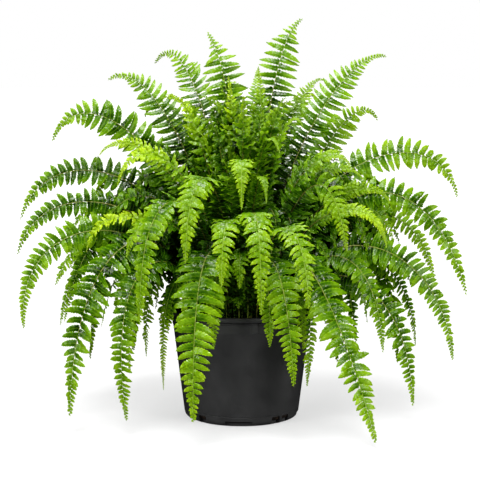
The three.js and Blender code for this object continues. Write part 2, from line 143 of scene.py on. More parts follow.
# Each row is one frond: the azimuth it leaves the clump at, how far it sweeps round to its tip,
# the radius of its root, then reach and height of the two handles of its arch and of its tip,
# half the blade's width, and how far its face turns to the front (0 not at all, 1 fully).
# Angles are degrees and 0 is +X. The number before the rows is the frond's youth, from 0, dark and
# full grown, to 1, new and yellow-green. Two rows in a node are two fronds from one root.
FRONDS = {
    # nearly upright, in the middle
    "frond_upright_left": (0.21, [[150, 0, 10, [2, 350], [14, 590], [68, 652], 36, 1]]),
    "frond_upright_right": (0.24, [[22, 0, 10, [34, 380], [50, 645], [113, 675], 36, 1]]),
    "frond_upright_young": (0.95, [
        [-120, 0, 12, [12, 350], [20, 500], [45, 578], 25, 0.9],
        [-112, 0, 12, [38, 270], [34, 500], [64, 480], 18, 0.3],
    ]),
    "frond_upright_back": (0.35, [[75, 0, 14, [14, 350], [60, 520], [110, 590], 28, 0]]),
    "frond_upright_short": (0.55, [[-5, 0, 20, [26, 330], [42, 500], [28, 594], 25, 0.9]]),
    # high, arching over at the top
    "frond_high_left_1": (0.28, [[138, 0, 20, [26, 430], [136, 690], [208, 598], 29, 0.9]]),
    "frond_high_left_2": (0.28, [[170, 0, 28, [42, 395], [166, 625], [233, 570], 34, 0.85]]),
    "frond_high_left_3": (0.24, [[-177, 0, 38, [85, 465], [280, 592], [320, 468], 36, 0.85]]),
    "frond_high_left_young": (0.9, [
        [-172, 0, 18, [35, 380], [85, 560], [127, 546], 22, 0.9],
        [-146, 0, 18, [46, 300], [58, 500], [92, 485], 18, 0.4],
    ]),
    "frond_high_right_1": (0.31, [[12, 0, 26, [50, 440], [200, 635], [256, 610], 32, 0.85]]),
    "frond_high_right_2": (0.45, [[38, 0, 22, [40, 400], [138, 605], [192, 566], 23, 0.7]]),
    "frond_high_right_3": (0.4, [[22, 0, 38, [95, 395], [218, 580], [260, 498], 30, 0.8]]),
    "frond_high_right_4": (0.36, [[5, 0, 42, [85, 450], [345, 520], [375, 368], 35, 0.85]]),
    "frond_high_back_1": (0.35, [
        [55, 0, 28, [50, 400], [180, 620], [250, 520], 30, 0],
        [72, 0, 28, [55, 370], [140, 540], [185, 470], 27, 0],
    ]),
    "frond_high_back_2": (0.45, [[98, 0, 26, [45, 400], [170, 640], [240, 560], 30, 0]]),
    "frond_high_back_3": (0.35, [
        [132, 0, 28, [50, 400], [200, 610], [265, 500], 30, 0],
        [114, 0, 28, [55, 370], [140, 530], [185, 460], 27, 0],
    ]),
    # at mid height, reaching far out
    "frond_middle_left_1": (0.19, [
        [177, 0, 50, [105, 450], [345, 475], [382, 330], 32, 0.8],
        [165, 0, 50, [95, 410], [285, 430], [315, 255], 32, 0.3],
    ]),
    "frond_middle_left_2": (0.2, [[-171, 0, 60, [115, 400], [350, 420], [380, 280], 30, 0.8]]),
    "frond_middle_left_3": (0.35, [[-163, 0, 68, [140, 385], [395, 365], [376, 164], 32, 0.8]]),
    "frond_middle_left_young": (0.75, [[-167, 0, 31, [62, 410], [200, 515], [244, 446], 20, 0.8]]),
    "frond_middle_right_1": (0.34, [[-6, 0, 55, [112, 410], [315, 478], [384, 208], 35, 0.8]]),
    "frond_middle_right_2": (0.42, [[5, 0, 60, [110, 390], [310, 400], [337, 220], 25, 0.85]]),
    "frond_middle_right_3": (0.55, [
        [-12, 0, 44, [84, 380], [230, 428], [254, 366], 19, 0.8],
        [-28, 0, 44, [90, 370], [250, 412], [268, 300], 17, 0.6],
    ]),
    "frond_middle_back_1": (0.3, [
        [35, 0, 48, [100, 420], [305, 480], [345, 300], 32, 0],
        [21, 0, 48, [90, 380], [270, 410], [298, 225], 30, 0.1],
    ]),
    "frond_middle_back_2": (0.35, [
        [64, 0, 50, [100, 420], [295, 470], [335, 290], 32, 0],
        [77, 0, 50, [90, 360], [245, 380], [280, 195], 30, 0],
    ]),
    "frond_middle_back_3": (0.45, [[90, 0, 52, [110, 430], [300, 490], [342, 320], 32, 0]]),
    "frond_middle_back_4": (0.3, [
        [117, 0, 50, [100, 420], [292, 460], [332, 280], 32, 0],
        [104, 0, 50, [90, 360], [240, 380], [272, 190], 30, 0],
    ]),
    "frond_middle_back_5": (0.3, [
        [145, 0, 48, [100, 420], [302, 480], [348, 310], 32, 0],
        [156, 0, 48, [92, 370], [262, 390], [292, 195], 30, 0],
    ]),
    # short and young, on the front
    "frond_front_young_1": (0.85, [
        [-153, 0, 26, [44, 420], [200, 520], [228, 400], 20, 0.6],
        [-160, 0, 24, [90, 340], [250, 400], [273, 290], 19, 0.5],
    ]),
    "frond_front_young_2": (0.45, [
        [-110, 0, 40, [66, 440], [240, 505], [256, 291], 33, 0.2],
        [-145, 0, 40, [85, 350], [215, 390], [228, 285], 28, 0.3],
    ]),
    "frond_front_young_3": (0.5, [
        [-97, 0, 50, [88, 380], [248, 405], [257, 256], 29, 0],
        [-91, 0, 50, [84, 310], [180, 330], [188, 243], 24, 0],
    ]),
    "frond_front_young_4": (0.65, [[-90, 0, 26, [44, 440], [178, 520], [190, 369], 25, 0]]),
    "frond_front_young_5": (0.65, [[-60, 0, 15, [30, 450], [90, 520], [124, 454], 20, 0.3]]),
    "frond_front_young_6": (0.48, [[-84, 0, 56, [90, 410], [285, 430], [286, 217], 32, 0]]),
    "frond_front_young_7": (0.48, [[-68, 0, 60, [100, 370], [262, 400], [276, 222], 31, 0.2]]),
    "frond_front_young_8": (0.54, [
        [-38, 0, 40, [80, 355], [178, 514], [217, 296], 30, 0.9],
        [-18, 0, 40, [70, 410], [175, 462], [215, 405], 17, 0.6],
    ]),
    "frond_front_young_9": (0.65, [
        [-25, 0, 26, [50, 400], [170, 500], [200, 425], 21, 0.6],
        [-38, 0, 26, [36, 390], [95, 560], [128, 495], 20, 0.5],
    ]),
    "frond_front_young_10": (0.65, [[-75, 0, 32, [50, 400], [140, 470], [155, 376], 18, 0]]),
    "frond_front_middle": (0.36, [[-126, 0, 56, [96, 430], [280, 460], [272, 189], 34, 0.3]]),
    # low and long, hanging beside the pot
    "frond_low_left_1": (0.25, [[-152, 0, 80, [130, 390], [310, 350], [318, 25], 45, 0.5]]),
    "frond_low_left_2": (0.35, [
        [-141, 0, 86, [120, 330], [292, 330], [242, 19], 36, 0.4],
        [-138, 0, 86, [112, 262], [184, 300], [174, 62], 13, 0.2],
    ]),
    "frond_low_left_3": (0.3, [[-174, 0, 76, [120, 330], [282, 360], [311, 155], 24, 0.5]]),
    "frond_low_left_4": (0.52, [
        [-166, 0, 90, [120, 300], [210, 310], [196, 75], 26, 0.4],
        [-154, 0, 90, [112, 280], [186, 290], [178, 110], 22, 0.2],
    ]),
    "frond_low_front_1": (0.42, [[-108, 0, 72, [118, 360], [258, 350], [247, 37], 45, 0.2]]),
    "frond_low_front_2": (0.42, [[-78, 9, 78, [115, 320], [230, 350], [231, 90], 34, 0.2]]),
    "frond_low_front_3": (0.46, [
        [-104, 0, 84, [105, 300], [190, 320], [185, 146], 26, 0],
        [-124, 0, 84, [100, 290], [170, 300], [168, 180], 24, 0],
    ]),
    "frond_low_front_4": (0.4, [[-74, 0, 88, [110, 270], [170, 290], [166, 143], 24, 0]]),
    "frond_low_right_1": (0.36, [[-48, 0, 78, [92, 440], [252, 180], [317, 4], 45, 0.3]]),
    "frond_low_right_2": (0.3, [[-16, 0, 82, [120, 300], [292, 262], [300, 27], 34, 0.5]]),
    "frond_low_right_3": (0.3, [
        [-9, 0, 72, [130, 370], [345, 310], [362, 100], 31, 0.7],
        [-2, 0, 72, [115, 320], [290, 320], [300, 116], 24, 0.5],
    ]),
    "frond_low_right_4": (0.35, [[-27, 0, 84, [120, 320], [250, 330], [262, 125], 26, 0.5]]),
    "frond_low_right_5": (0.5, [
        [-36, 0, 90, [110, 260], [158, 290], [136, 60], 22, 0.3],
        [-50, 0, 90, [105, 250], [160, 270], [158, 131], 18, 0.2],
    ]),
    "frond_low_back_1": (0.3, [[22, 0, 84, [130, 340], [300, 350], [305, 60], 38, 0]]),
    "frond_low_back_2": (0.3, [[50, 0, 86, [120, 330], [270, 340], [280, 40], 38, 0]]),
    "frond_low_back_3": (0.35, [[80, 0, 84, [125, 340], [290, 340], [300, 50], 40, 0]]),
    "frond_low_back_4": (0.3, [[104, 0, 86, [120, 330], [260, 340], [270, 45], 38, 0]]),
    "frond_low_back_5": (0.25, [[132, 0, 84, [130, 350], [300, 350], [305, 60], 40, 0]]),
    "frond_low_back_6": (0.3, [[160, 0, 86, [125, 330], [280, 330], [290, 70], 36, 0]]),
}


# ---- small helpers ----

def smoothstep(value, low, high):
    share = np.clip((value - low) / (high - low), 0, 1)
    return share * share * (3 - 2 * share)


def unit(vectors):
    return vectors / np.linalg.norm(vectors, axis=-1, keepdims=True)


def polar(azimuth, reach, height):
    """A point in metres from degrees and millimetres."""
    angle = math.radians(azimuth)
    return np.array([reach * math.cos(angle), reach * math.sin(angle), height]) * MM


def grid_faces(rows, columns, closed=False):
    """Four-sided faces of a grid of points, row by row. Closed makes each row a ring."""
    row = np.arange(rows - 1)[:, None] * columns
    column = np.arange(columns if closed else columns - 1)[None, :]
    beside = (column + 1) % columns
    corners = [row + column, row + beside, row + columns + beside, row + columns + column]
    return np.stack(corners, axis=-1).reshape(-1, 4)


def add_object(name, data):
    made = bpy.data.objects.new(name, data)
    bpy.context.scene.collection.objects.link(made)
    return made


def object_of_faces(name, points, faces):
    """A smooth mesh object from an array of points and an array of four-sided faces."""
    mesh = bpy.data.meshes.new(name)
    mesh.vertices.add(len(points))
    mesh.vertices.foreach_set("co", np.ascontiguousarray(points, np.float32).ravel())
    mesh.loops.add(faces.size)
    mesh.loops.foreach_set("vertex_index", faces.astype(np.int32).ravel())
    mesh.polygons.add(len(faces))
    mesh.polygons.foreach_set("loop_start", np.arange(0, faces.size, 4, dtype=np.int32))
    mesh.polygons.foreach_set("use_smooth", np.full(len(faces), True))
    mesh.update(calc_edges=True)
    return add_object(name, mesh)


def object_of_edit(name, edit):
    """A mesh object from a mesh that was being edited, which is freed."""
    mesh = bpy.data.meshes.new(name)
    edit.to_mesh(mesh)
    edit.free()
    return add_object(name, mesh)


def set_values(mesh, name, values):
    """A number for each point, which a material reads by its name."""
    layer = mesh.attributes.new(name, "FLOAT", "POINT")
    layer.data.foreach_set("value", np.ascontiguousarray(values, np.float32))


# ---- materials ----

def new_material(name):
    """A material, its empty tree, and the place that its patterns go by."""
    material = bpy.data.materials.new(name)
    material.use_nodes = True
    tree = material.node_tree
    tree.nodes.clear()
    return material, tree, put(tree, "TexCoord").outputs["Object"]


def put(tree, kind, values=None, **settings):
    """A shader node with its settings.

    Values gives its inputs, by name or place: each a number, a colour or a socket.
    """
    made = tree.nodes.new("ShaderNode" + kind)
    for key, value in settings.items():
        setattr(made, key, value)
    for key, value in (values or {}).items():
        if isinstance(value, bpy.types.NodeSocket):
            tree.links.new(value, made.inputs[key])
        else:
            made.inputs[key].default_value = value
    return made


def sums(tree, operation, first, second=0.0, clamp=False):
    """The result of a Math node."""
    made = put(tree, "Math", {0: first, 1: second}, operation=operation, use_clamp=clamp)
    return made.outputs[0]


def remap(tree, value, low, high, new_low=0.0, new_high=1.0):
    """A value taken smoothly from one range to another."""
    inputs = {0: value, 1: low, 2: high, 3: new_low, 4: new_high}
    return put(tree, "MapRange", inputs, interpolation_type="SMOOTHSTEP").outputs[0]


def ramp(tree, value, stops):
    """A colour for each value, from stops of (place, colour)."""
    made = put(tree, "ValToRGB", {0: value})
    elements = made.color_ramp.elements
    while len(elements) < len(stops):
        elements.new(0.5)
    for element, (place, colour) in zip(elements, stops):
        element.position = place
        element.color = (*colour, 1)
    return made.outputs[0]


def blend(tree, share, first, second, mode="MIX"):
    """Two colours mixed by a share."""
    made = put(tree, "Mix", {0: share, 6: first, 7: second}, data_type="RGBA", blend_type=mode)
    return made.outputs[2]


def noise(tree, where, scale, detail=3.0, roughness=0.5):
    inputs = {"Vector": where, "Scale": scale, "Detail": detail, "Roughness": roughness}
    return put(tree, "TexNoise", inputs).outputs[0]


def close(tree, surface):
    out = put(tree, "OutputMaterial")
    tree.links.new(surface, out.inputs["Surface"])


LEAF_GREENS = [
    (0.0, (0.004, 0.017, 0.0005)),
    (0.2, (0.031, 0.088, 0.0014)),
    (0.38, (0.095, 0.200, 0.0036)),
    (0.7, (0.190, 0.325, 0.005)),
    (1.0, (0.330, 0.470, 0.010)),
]
PALE_GREEN = (0.20, 0.34, 0.02, 1)
LEAF_CLEARNESS = 0.20            # of the light, how much goes through a leaflet


def leaf_material():
    """Glossy green with veins: dark in an old leaflet, yellow-green in a new one, with painted
    shade in the middle of the clump and at each leaflet's base.
    """
    material, tree, place = new_material("fern_leaf")
    where = put(tree, "SeparateXYZ", {0: put(tree, "UVMap", uv_map="leaflet").outputs[0]})
    along, sideways = where.outputs[0], where.outputs[1]
    across = sums(tree, "SUBTRACT", sums(tree, "MULTIPLY", sideways, 2.0), 1.0)
    across = sums(tree, "ABSOLUTE", across)
    # This youth holds painted shade too, darker in the middle of the clump.
    youth = put(tree, "Attribute", attribute_name="youth").outputs["Fac"]
    chance = put(tree, "Attribute", attribute_name="chance").outputs["Fac"]
    patches = noise(tree, place, 55.0)
    grain = noise(tree, place, 900.0, 2.0)

    margin = remap(tree, across, 0.6, 1.0, 0.0, 0.22)
    # Darker at a leaflet's base, lighter at its tip. The lighter tip is its own colour. The darker
    # base is painted shade where the rib and the leaflets beside it shade it.
    point = remap(tree, along, 0.0, 1.0, -0.14, 0.14)
    uneven = sums(tree, "MULTIPLY", sums(tree, "SUBTRACT", patches, 0.5), 0.45)
    drawn = sums(tree, "MULTIPLY", sums(tree, "SUBTRACT", chance, 0.5), 0.16)
    age_and_shade = sums(tree, "ADD", sums(tree, "ADD", youth, margin), sums(tree, "ADD", point, uneven))
    green = ramp(tree, sums(tree, "ADD", age_and_shade, drawn, clamp=True), LEAF_GREENS)

    slanted = sums(tree, "MULTIPLY", along, TEETH)
    slanted = sums(tree, "SUBTRACT", slanted, sums(tree, "MULTIPLY", across, 0.9))
    veins = sums(tree, "COSINE", sums(tree, "MULTIPLY", slanted, 2 * math.pi))
    veined = remap(tree, veins, 0.55, 1.0, 0.0, 0.10)
    midrib = remap(tree, across, 0.04, 0.13, 0.28, 0.0)
    green = blend(tree, sums(tree, "MAXIMUM", veined, midrib), green, PALE_GREEN)

    blisters = noise(tree, place, 120.0, 2.0)
    rise = sums(tree, "MULTIPLY", veins, 0.12)
    rise = sums(tree, "ADD", rise, sums(tree, "MULTIPLY", grain, 0.06))
    rise = sums(tree, "ADD", rise, blisters)
    rise = sums(tree, "SUBTRACT", rise, sums(tree, "MULTIPLY", midrib, 0.3))
    bump = put(tree, "Bump", {"Strength": 0.3, "Distance": 0.0030, "Height": rise}).outputs[0]
    rough = remap(tree, patches, 0.3, 0.7, 0.22, 0.36)
    inputs = {"Base Color": green, "Roughness": rough, "Specular IOR Level": 0.30, "Normal": bump}
    front = put(tree, "BsdfPrincipled", inputs).outputs[0]
    lit = blend(tree, 1.0, green, (1.35, 1.25, 0.6, 1), "MULTIPLY")
    through = put(tree, "BsdfTranslucent", {"Color": lit, "Normal": bump}).outputs[0]
    close(tree, put(tree, "MixShader", {0: LEAF_CLEARNESS, 1: front, 2: through}).outputs[0])
    return material


def rib_material():
    """Stalks and ribs: tan on an old frond, green on a young one, with small pale scales, and
    painted shade that darkens them in the middle of the clump.
    """
    material, tree, place = new_material("fern_rib")
    youth = put(tree, "Attribute", attribute_name="youth").outputs["Fac"]
    base = ramp(tree, youth, [
        (0.0, (0.025, 0.026, 0.003)),
        (0.15, (0.120, 0.115, 0.020)),
        (0.27, (0.125, 0.160, 0.016)),
        (0.5, (0.140, 0.230, 0.014)),
        (1.0, (0.200, 0.310, 0.015)),
    ])
    scales = remap(tree, noise(tree, place, 420.0, 2.0), 0.56, 0.66, 0.0, 0.3)
    colour = blend(tree, scales, base, (0.30, 0.26, 0.12, 1))
    bump = put(tree, "Bump", {"Strength": 0.4, "Distance": 0.0003, "Height": scales}).outputs[0]
    inputs = {"Base Color": colour, "Roughness": 0.55, "Normal": bump}
    close(tree, put(tree, "BsdfPrincipled", inputs).outputs[0])
    return material


def plastic_material():
    """Moulded black plastic with a fine grain, faint dust and streaks."""
    material, tree, place = new_material("pot_plastic")
    grain = noise(tree, place, 1400.0, 2.0)
    dust = noise(tree, place, 24.0, 5.0, 0.6)
    flow = put(tree, "Mapping", {"Vector": place, "Scale": (60.0, 60.0, 9.0)}).outputs[0]
    streaks = noise(tree, flow, 1.0, 4.0, 0.55)
    greyness = sums(tree, "MULTIPLY", dust, 0.7)
    greyness = sums(tree, "ADD", greyness, sums(tree, "MULTIPLY", streaks, 0.3))
    colour = ramp(tree, greyness, [
        (0.3, (0.0255, 0.0255, 0.0260)),
        (0.55, (0.0315, 0.0315, 0.0320)),
        (0.8, (0.039, 0.0385, 0.0385)),
    ])
    rough = remap(tree, dust, 0.3, 0.75, 0.40, 0.58)
    bump = put(tree, "Bump", {"Strength": 0.12, "Distance": 0.0003, "Height": grain}).outputs[0]
    inputs = {"Base Color": colour, "Roughness": rough, "Specular IOR Level": 0.45, "Normal": bump}
    close(tree, put(tree, "BsdfPrincipled", inputs).outputs[0])
    return material


def soil_material():
    """Damp dark peat with paler fibres."""
    material, tree, place = new_material("potting_soil")
    lumps = noise(tree, place, 160.0, 5.0, 0.65)
    fibres = noise(tree, place, 700.0, 3.0)
    colour = ramp(tree, lumps, [
        (0.3, (0.005, 0.003, 0.002)),
        (0.5, (0.013, 0.008, 0.0055)),
        (0.75, (0.045, 0.028, 0.017)),
    ])
    pale = remap(tree, fibres, 0.64, 0.74, 0.0, 0.5)
    colour = blend(tree, pale, colour, (0.16, 0.10, 0.05, 1))
    height = sums(tree, "ADD", lumps, sums(tree, "MULTIPLY", fibres, 0.4))
    bump = put(tree, "Bump", {"Strength": 0.8, "Distance": 0.0015, "Height": height}).outputs[0]
    inputs = {"Base Color": colour, "Roughness": 0.9, "Normal": bump}
    close(tree, put(tree, "BsdfPrincipled", inputs).outputs[0])
    return material


def floor_material():
    """A plain floor that looks white. To the camera it glows more the farther away it is."""
    material, tree, place = new_material("pale_floor")
    shades = [(0.3, (0.24, 0.24, 0.24)), (0.7, (0.26, 0.26, 0.26))]
    colour = ramp(tree, noise(tree, place, 3.0), shades)
    inputs = {"Base Color": colour, "Roughness": 0.8, "Specular IOR Level": 0.1}
    far = put(tree, "VectorMath", {0: place}, operation="LENGTH").outputs["Value"]
    glow = remap(tree, far, 0.6, 3.0, FLOOR_GLOW, 1.0)
    seen = put(tree, "LightPath").outputs["Is Camera Ray"]
    glow = put(tree, "MapRange", {0: seen, 3: FLOOR_BOUNCE, 4: glow}).outputs[0]
    inputs.update({"Emission Color": (1, 1, 1, 1), "Emission Strength": glow})
    close(tree, put(tree, "BsdfPrincipled", inputs).outputs[0])
    return material


# ---- one frond's line, as the model has it ----

class Frond:
    """The curve of one row, the directions along it, and what kind of frond it is."""

    def __init__(self, row, first_row):
        azimuth, sweep, _, rise, arch, tip, self.half_width, self.turn = row
        root_azimuth, _, root_radius = first_row[:3]
        height = (tip[1] + ROW_FLOOR) * MM
        self.hanging = float(smoothstep(height, *HANGING_TIP))
        self.pointed = float(smoothstep(height, *POINTED_TIP))
        self.upright = float(smoothstep(height, *UPRIGHT_TIP))
        far_out, level = smoothstep(arch[0], *MIDDLE_REACH), smoothstep(arch[1], *MIDDLE_HEIGHT)
        self.middle = float(far_out * level)
        self.slender = self.hanging * float(smoothstep(self.half_width, *SLENDER_WIDTH))
        self.narrowing = 2.2 + 0.9 * float(smoothstep(height, *LATE_TIP))
        self.tail = 0.32 - 0.12 * self.upright
        self.azimuth = azimuth + 0.5 * sweep
        self.start = polar(root_azimuth, root_radius, SOIL_TOP)
        self.handles = np.array([
            self.start,
            polar(azimuth, rise[0], rise[1] + ROW_FLOOR),
            polar(azimuth + 0.6 * sweep, arch[0], arch[1] + ROW_FLOOR),
            polar(azimuth + sweep, tip[0], tip[1] + ROW_FLOOR),
        ])
        self.times = np.linspace(0, 1, CURVE_STEPS)
        steps = np.linalg.norm(np.diff(self.points_at(self.times), axis=0), axis=1)
        lengths = np.concatenate([[0], np.cumsum(steps)])
        self.length = lengths[-1]
        self.shares = lengths / self.length

    def points_at(self, times):
        t = times[:, None]
        a, b, c, d = self.handles
        return (1 - t) ** 3 * a + 3 * (1 - t) ** 2 * t * b + 3 * (1 - t) * t * t * c + t ** 3 * d

    def slopes_at(self, times):
        t = times[:, None]
        a, b, c, d = self.handles
        return 3 * (1 - t) ** 2 * (b - a) + 6 * (1 - t) * t * (c - b) + 3 * t * t * (d - c)

    def stations(self, shares):
        """Point, forward, left and up at shares of the length. The turn leans up to the front."""
        times = np.interp(shares, self.shares, self.times)
        forward = unit(self.slopes_at(times))
        angle = math.radians(self.azimuth)
        sideways = np.array([-math.sin(angle), math.cos(angle), 0.0])
        up = unit(np.cross(forward, sideways))
        front = np.array([0.0, -1.0, 0.0])
        front = front - forward * (forward @ front)[:, None]
        lean = (self.turn * smoothstep(shares, 0, TURN_SHARE))[:, None]
        up = unit(up * (1 - lean) + front * lean)
        left = unit(np.cross(up, forward))
        return self.points_at(times), forward, left, up


def spread(along, frond):
    """The blade's outline, from where the model's leaflets start to the tip.

    A high frond has a thin tail, and a hanging one narrows all the way. No tip is quite bare.
    """
    base = 0.6 + 0.4 * smoothstep(along, 0, 0.22)
    high = smoothstep(1 - along, 0, frond.tail) * (1 - 0.18 * along ** 2)
    hanging = 1 - np.clip(along, 0, 1) ** frond.narrowing
    last = 0.5 * np.power(np.clip(1 - along, 0, 1), 0.45)
    return base * np.maximum(high + (hanging - high) * frond.hanging, last) * 0.985 + 0.015


# ---- leaflets ----

def leaflet_places(frond, fullness):
    """Shares of the rib where leaflets sit on one side, closer together where they are small."""
    spacing = (3.4 + 0.275 * frond.half_width) * MM / fullness
    places, share = [], LEAF_START
    while share < LEAF_END:
        places.append(share)
        along = max(0, (share - BLADE_START) / (1 - BLADE_START))
        size = float(spread(max(along, 0.3), frond))
        share += spacing * (0.14 + 0.86 * size ** 0.6) / frond.length
    return np.array(places)


def leaflet_outline(along, pointed, crisp):
    """Half widths of a scalloped leaflet on its tip side and its root side, at shares along it."""
    blunt = 2.8 - max(0.6 * pointed, 0.9 * crisp)
    body = np.power(1 - np.power(np.clip((along - 0.15) / 0.85, 0, 1), blunt), 0.8)
    phase = (along * TEETH) % 1
    depth = 0.19 + 0.08 * crisp
    tooth = 1 - depth + depth * np.power(phase, 0.8) / TOOTH_PEAK
    ear = 0.34 * np.exp(-(((along - 0.08) / 0.07) ** 2))
    edge = body * np.where(along > 0.98, 1, tooth)
    return np.maximum(edge + ear, 0.05), np.maximum(edge, 0.05)


def leaflet_lengths():
    """Where along a leaflet its rows of points lie: three to a tooth, then the point."""
    teeth = np.arange(TEETH)[:, None] + np.array([0.0, 0.45, TOOTH_PEAK])[None, :]
    return np.concatenate([teeth.ravel() / TEETH, [POINT]])


def add_leaflets(frond, youth, wild, draw):
    """Points, faces, leaflet coordinates, youth with painted shade, and chance of all the leaflets
    of one frond.
    """
    crisp = float(smoothstep(youth, *CRISP_YOUTH))
    hanging, upright = frond.hanging, frond.upright
    wild = max(wild, 0.5 * float(smoothstep(youth, *WILD_YOUTH)))
    fullness = 1.02 + 0.12 * youth - 0.06 * hanging - 0.2 * wild - 0.12 * frond.middle
    places = leaflet_places(frond, fullness)
    half_step = np.diff(places, append=1.0)[:, None] * 0.5
    shares = np.clip(np.stack([places, places + half_step[:, 0]], axis=1).ravel(), 0, 0.997)
    side = np.tile([1.0, -1.0], len(places))
    count = len(shares)
    point, forward, left, up = frond.stations(shares)
    outward = left * side[:, None]

    blade = (shares - BLADE_START) / (1 - BLADE_START)
    low = 0.6 * (0.6 + 0.4 * (shares - LEAF_START) / (BLADE_START - LEAF_START))
    size = np.where(blade > 0, spread(blade, frond), low)
    length = frond.half_width * MM * (1.16 - 0.16 * frond.middle) * size
    length *= draw.uniform(0.93, 1.07, count)
    step = np.repeat(half_step[:, 0], 2) * 2 * frond.length
    broad = float(smoothstep(frond.half_width, *BROAD_WIDTH))
    near_tip = np.clip(blade, 0, 1) ** 3
    closeness = 0.46 + 0.02 * (hanging + frond.middle - frond.pointed - upright)
    closeness = closeness + 0.06 * near_tip - 0.08 * crisp * broad
    width = np.minimum(step * closeness, length * (0.42 + 0.12 * near_tip))
    width *= draw.uniform(0.92, 1.08, count)

    u = leaflet_lengths()
    rows, columns = len(u), len(ACROSS)
    swing = draw.normal(0, 5 + 22 * wild, count) + 24 * near_tip * (1 - upright)
    swing = np.radians(swing)[:, None]
    hook = draw.normal(25 - 18 * upright - 6 * hanging, 7 + 12 * wild, count) + 14 * crisp
    hook = np.radians(hook)[:, None]
    lift = np.radians(draw.normal(14, 7 + 16 * wild, count))[:, None]
    fall = np.radians(draw.normal(42, 11 + 20 * wild, count))[:, None]
    turn = swing + hook * u
    dip = -lift + fall * u
    heading = (
        (np.cos(dip) * np.cos(turn))[..., None] * outward[:, None]
        + (np.cos(dip) * np.sin(turn))[..., None] * forward[:, None]
        - np.sin(dip)[..., None] * up[:, None]
    )
    weight = ((0.08 + 0.12 * upright) * u)[None, :, None] * np.array([0.0, 0.0, -1.0])
    heading = unit(heading + weight)
    gaps = np.diff(u, prepend=0)
    line = np.cumsum(heading * gaps[None, :, None], axis=1) * length[:, None, None]
    line += point[:, None]

    shared = np.sum(forward[:, None] * heading, axis=2, keepdims=True)
    sideways = unit(forward[:, None] - heading * shared)
    above = np.cross(sideways, heading) * side[:, None, None]
    roll = np.radians(draw.normal(12, 8 + 24 * wild, count))[:, None, None]
    sideways, above = (
        sideways * np.cos(roll) - above * np.sin(roll),
        above * np.cos(roll) + sideways * np.sin(roll),
    )

    tip_side, root_side = leaflet_outline(u, max(frond.pointed, 0.8 * frond.middle), crisp)
    v = ACROSS[None, None, :]
    half = np.where(v > 0, tip_side[None, :, None], root_side[None, :, None])
    half = half * width[:, None, None]
    phase = draw.uniform(0, 1, count)[:, None, None]
    ripple = np.cos(2 * np.pi * (u[None, :, None] * RIPPLES - 0.5 * np.abs(v) + phase))
    cup = draw.normal(0.16, 0.10, count)[:, None, None]
    wave = (draw.uniform(0.08, 0.20, count) + 0.12 * crisp)[:, None, None]
    quilt = np.sin(np.pi * np.minimum(np.abs(v), 0.8) / 1.1)
    height = (-cup * v ** 2 + wave * ripple * quilt) * width[:, None, None]
    points = (
        line[:, :, None]
        + sideways[:, :, None] * (v * half)[..., None]
        + above[:, :, None] * height[..., None]
    )
    faces = grid_faces(rows, columns)[None] + (np.arange(count) * rows * columns)[:, None, None]
    faces = np.where(side[:, None, None] > 0, faces, faces[:, :, ::-1]).reshape(-1, 4)

    shape = (count, rows, columns)
    coordinates = np.stack([
        np.broadcast_to(u[None, :, None], shape),
        np.broadcast_to((v + 1) / 2, shape),
    ], axis=-1).reshape(-1, 2)
    # Painted shade: outer is 0 in the middle of the clump and 1 from FULL_REACH out. Leaflets are
    # painted darker the nearer the middle they are, and only those out of it get lighter tips.
    outer = smoothstep(np.linalg.norm(point - PAINTED_SHADE_CENTRE, axis=1), SHADE_REACH, FULL_REACH)
    # Darker towards the frond's foot: partly the older leaflets' own colour, partly painted shade
    # inside the clump.
    age_and_shade = youth * (0.2 + 0.8 * smoothstep(shares, 0.15, 0.75)) * (0.5 + 0.5 * outer)
    age_and_shade -= 0.06 * (1 - outer)
    age_and_shade += (0.85 - youth) * 0.4 * smoothstep(shares, 0.72, 1.0) * outer
    ages_and_shade = np.broadcast_to(age_and_shade[:, None, None], shape).ravel()
    chances = np.broadcast_to(draw.uniform(0, 1, count)[:, None, None], shape).ravel()
    return points.reshape(-1, 3), faces, coordinates, ages_and_shade, chances


def add_rib(frond, youth, draw):
    """The same five for its stalk and rib, from the foot in the soil to the tip."""
    shares = np.linspace(0, 1, RIB_STEPS) ** 0.9
    point, forward, left, up = frond.stations(shares)
    foot = frond.start - np.array([0, 0, FOOT_DEPTH * MM])
    point = np.concatenate([[foot], point])
    left, up = np.concatenate([left[:1], left]), np.concatenate([up[:1], up])
    radius = (RIB_TIP_RADIUS + (STALK_RADIUS - RIB_TIP_RADIUS) * (1 - shares) ** 1.6) * MM
    radius = np.concatenate([radius[:1], radius]) * draw.uniform(0.95, 1.05, RIB_STEPS + 1)
    angles = np.arange(RIB_SIDES) * 2 * np.pi / RIB_SIDES
    ring = (
        left[:, None] * np.cos(angles)[None, :, None] + up[:, None] * np.sin(angles)[None, :, None]
    ) * radius[:, None, None]
    points = (point[:, None] + ring).reshape(-1, 3)
    faces = grid_faces(RIB_STEPS + 1, RIB_SIDES, closed=True)[:, ::-1]
    count = len(points)
    along = np.concatenate([[0], shares])
    # Painted shade: stalks are painted darker the nearer they are to the middle of the clump.
    outer = smoothstep(np.linalg.norm(point - PAINTED_SHADE_CENTRE, axis=1), SHADE_REACH, FULL_REACH)
    age_and_shade = youth * (0.55 + 0.45 * along) * (0.15 + 0.85 * outer)
    age_and_shade += 0.3 * smoothstep(along, 0.65, 1.0)
    return points, faces, np.zeros((count, 2)), np.repeat(age_and_shade, RIB_SIDES), np.zeros(count)


# ---- the rows of the fronds that fill the clump ----

